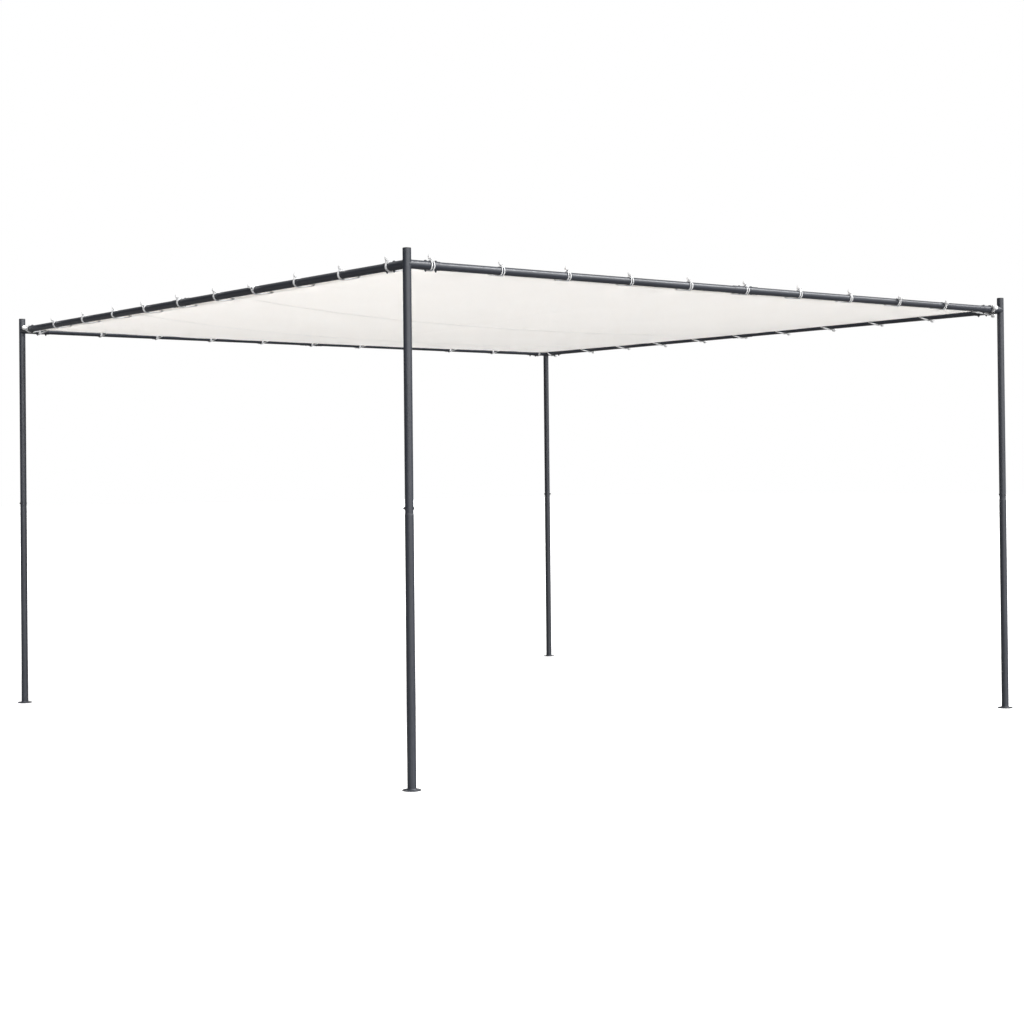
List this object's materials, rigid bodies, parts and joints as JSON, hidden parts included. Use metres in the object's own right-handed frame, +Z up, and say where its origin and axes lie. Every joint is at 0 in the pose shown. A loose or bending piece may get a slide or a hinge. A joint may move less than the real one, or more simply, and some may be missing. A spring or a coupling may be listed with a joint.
{
  "type": "flat roof gazebo",
  "caption": "Open square garden gazebo: slim round steel posts on disc feet, a ring of tube rails and a flat off-white canopy tied inside it with elastic ball loops.",
  "frame": {"origin": "on the ground plane, at the centre of the square of posts", "axes": "+Z up; +X along the front and back rails, +Y from the front rail to the back rail"},
  "size_m": [4.04, 4.04, 2.25],
  "materials": {
    "frame_steel": "anthracite powder coat, satin",
    "foot_steel": "anthracite powder coat, satin, dusty",
    "cap_plastic": "moulded black plastic",
    "canopy_fabric": "off-white coated polyester, matt",
    "hem_and_tie_white": "off-white hem tape and white braided elastic"
  },
  "bodies": {
    "root": {"foot_plate_front_left": "foot_steel", "lower_post_front_left": "frame_steel", "upper_post_front_left": "frame_steel", "post_cap_front_left": "cap_plastic", "foot_plate_front_right": "foot_steel", "lower_post_front_right": "frame_steel", "upper_post_front_right": "frame_steel", "post_cap_front_right": "cap_plastic", "foot_plate_back_right": "foot_steel", "lower_post_back_right": "frame_steel", "upper_post_back_right": "frame_steel", "post_cap_back_right": "cap_plastic", "foot_plate_back_left": "foot_steel", "lower_post_back_left": "frame_steel", "upper_post_back_left": "frame_steel", "post_cap_back_left": "cap_plastic", "front_sleeve_a": "frame_steel", "front_sleeve_b": "frame_steel", "front_rail_a": "frame_steel", "front_rail_b": "frame_steel", "front_rail_coupler": "frame_steel", "right_sleeve_a": "frame_steel", "right_sleeve_b": "frame_steel", "right_rail_a": "frame_steel", "right_rail_b": "frame_steel", "right_rail_coupler": "frame_steel", "back_sleeve_a": "frame_steel", "back_sleeve_b": "frame_steel", "back_rail_a": "frame_steel", "back_rail_b": "frame_steel", "back_rail_coupler": "frame_steel", "left_sleeve_a": "frame_steel", "left_sleeve_b": "frame_steel", "left_rail_a": "frame_steel", "left_rail_b": "frame_steel", "left_rail_coupler": "frame_steel", "canopy": "canopy_fabric", "front_hem_with_ties": "hem_and_tie_white", "right_hem_with_ties": "hem_and_tie_white", "back_hem_with_ties": "hem_and_tie_white", "left_hem_with_ties": "hem_and_tie_white"}
  },
  "joints": []
}
